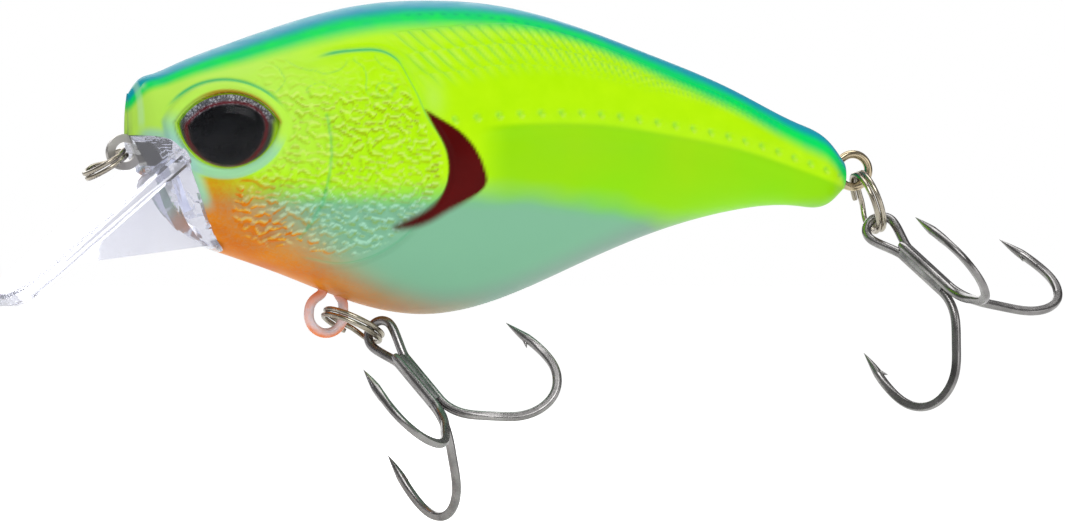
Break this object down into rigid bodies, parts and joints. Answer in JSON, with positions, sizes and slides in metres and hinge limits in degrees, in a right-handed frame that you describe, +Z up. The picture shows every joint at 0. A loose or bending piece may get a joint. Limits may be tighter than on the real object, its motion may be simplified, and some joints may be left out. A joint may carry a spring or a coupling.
{
  "type": "crankbait fishing lure",
  "caption": "Deep-bodied crankbait fishing lure with a clear diving lip, lens eyes, inner rattles and swinging treble hooks on split rings.",
  "frame": {"origin": "centre of the line-tie eye at the nose, on the parting plane of the two body halves", "axes": "+X from nose to tail, +Z up through the back, -Y is the fish's left side"},
  "size_m": [0.1022, 0.0306, 0.0491],
  "materials": {
    "painted_shell": "high-gloss lacquer over a lime, blue and orange pattern",
    "clear_lip": "clear polished plastic",
    "eye_print": "printed foil, black pupil on silver and lime",
    "eye_lens": "clear resin lens",
    "stamped_steel": "stamped stainless plate",
    "painted_wire": "wire with thin white and orange overspray",
    "hanger_wire": "bright drawn stainless wire",
    "ring_steel": "bright nickel-plated spring wire",
    "hook_black_nickel": "smoked nickel plate",
    "braze_metal": "plated braze",
    "ballast_metal": "cast weight, dull grey",
    "steel_ball": "polished bearing steel"
  },
  "bodies": {
    "lure_body": {"shell_left": "painted_shell", "shell_right": "painted_shell", "diving_lip": "clear_lip", "eye_foil_left": "eye_print", "eye_foil_right": "eye_print", "eye_dome_left": "eye_lens", "eye_dome_right": "eye_lens", "line_tie_hanger": "stamped_steel", "belly_hanger": "painted_wire", "tail_hanger": "hanger_wire", "belly_ballast": "ballast_metal", "nose_ballast": "ballast_metal"},
    "line_ring": {"line_split_ring": "ring_steel"},
    "belly_ring": {"belly_split_ring": "ring_steel"},
    "tail_ring": {"tail_split_ring": "ring_steel"},
    "belly_treble": {"belly_treble_double": "hook_black_nickel", "belly_treble_single": "hook_black_nickel", "belly_treble_braze": "braze_metal"},
    "tail_treble": {"tail_treble_double": "hook_black_nickel", "tail_treble_single": "hook_black_nickel", "tail_treble_braze": "braze_metal"},
    "large_rattle": {"rattle_ball_large": "steel_ball"},
    "upper_rattle": {"rattle_ball_upper": "steel_ball"},
    "rear_rattle": {"rattle_ball_rear": "steel_ball"}
  },
  "joints": [
    {"name": "line_ring_swing", "type": "hinge", "parent": "lure_body", "child": "line_ring", "pos_m": [0, 0, 0], "axis": [0, 1, 0], "range_deg": [-33, 112]},
    {"name": "belly_ring_swing", "type": "hinge", "parent": "lure_body", "child": "belly_ring", "pos_m": [0.0196, 0, -0.0153], "axis": [0, 1, 0], "range_deg": [-7, 75]},
    {"name": "tail_ring_swing", "type": "hinge", "parent": "lure_body", "child": "tail_ring", "pos_m": [0.07145, 0, -0.0016], "axis": [0, 1, 0], "range_deg": [-100, 25]},
    {"name": "belly_treble_swing", "type": "hinge", "parent": "belly_ring", "child": "belly_treble", "pos_m": [0.0239, -0.00336, -0.01714], "axis": [0.4972, 0.8091, -0.3133], "range_deg": [-12, 55]},
    {"name": "tail_treble_swing", "type": "hinge", "parent": "tail_ring", "child": "tail_treble", "pos_m": [0.07343, -0.00256, -0.00707], "axis": [0.1373, 0.9157, -0.3778], "range_deg": [-80, 60]},
    {"name": "large_rattle_roll", "type": "slide", "parent": "lure_body", "child": "large_rattle", "axis": [1, 0, 0], "range_m": [-0.001, 0.0064]},
    {"name": "upper_rattle_roll", "type": "slide", "parent": "lure_body", "child": "upper_rattle", "axis": [1, 0, 0], "range_m": [-0.0006, 0.0052]},
    {"name": "rear_rattle_roll", "type": "slide", "parent": "lure_body", "child": "rear_rattle", "axis": [1, 0, 0], "range_m": [-0.008, 0.001]}
  ]
}
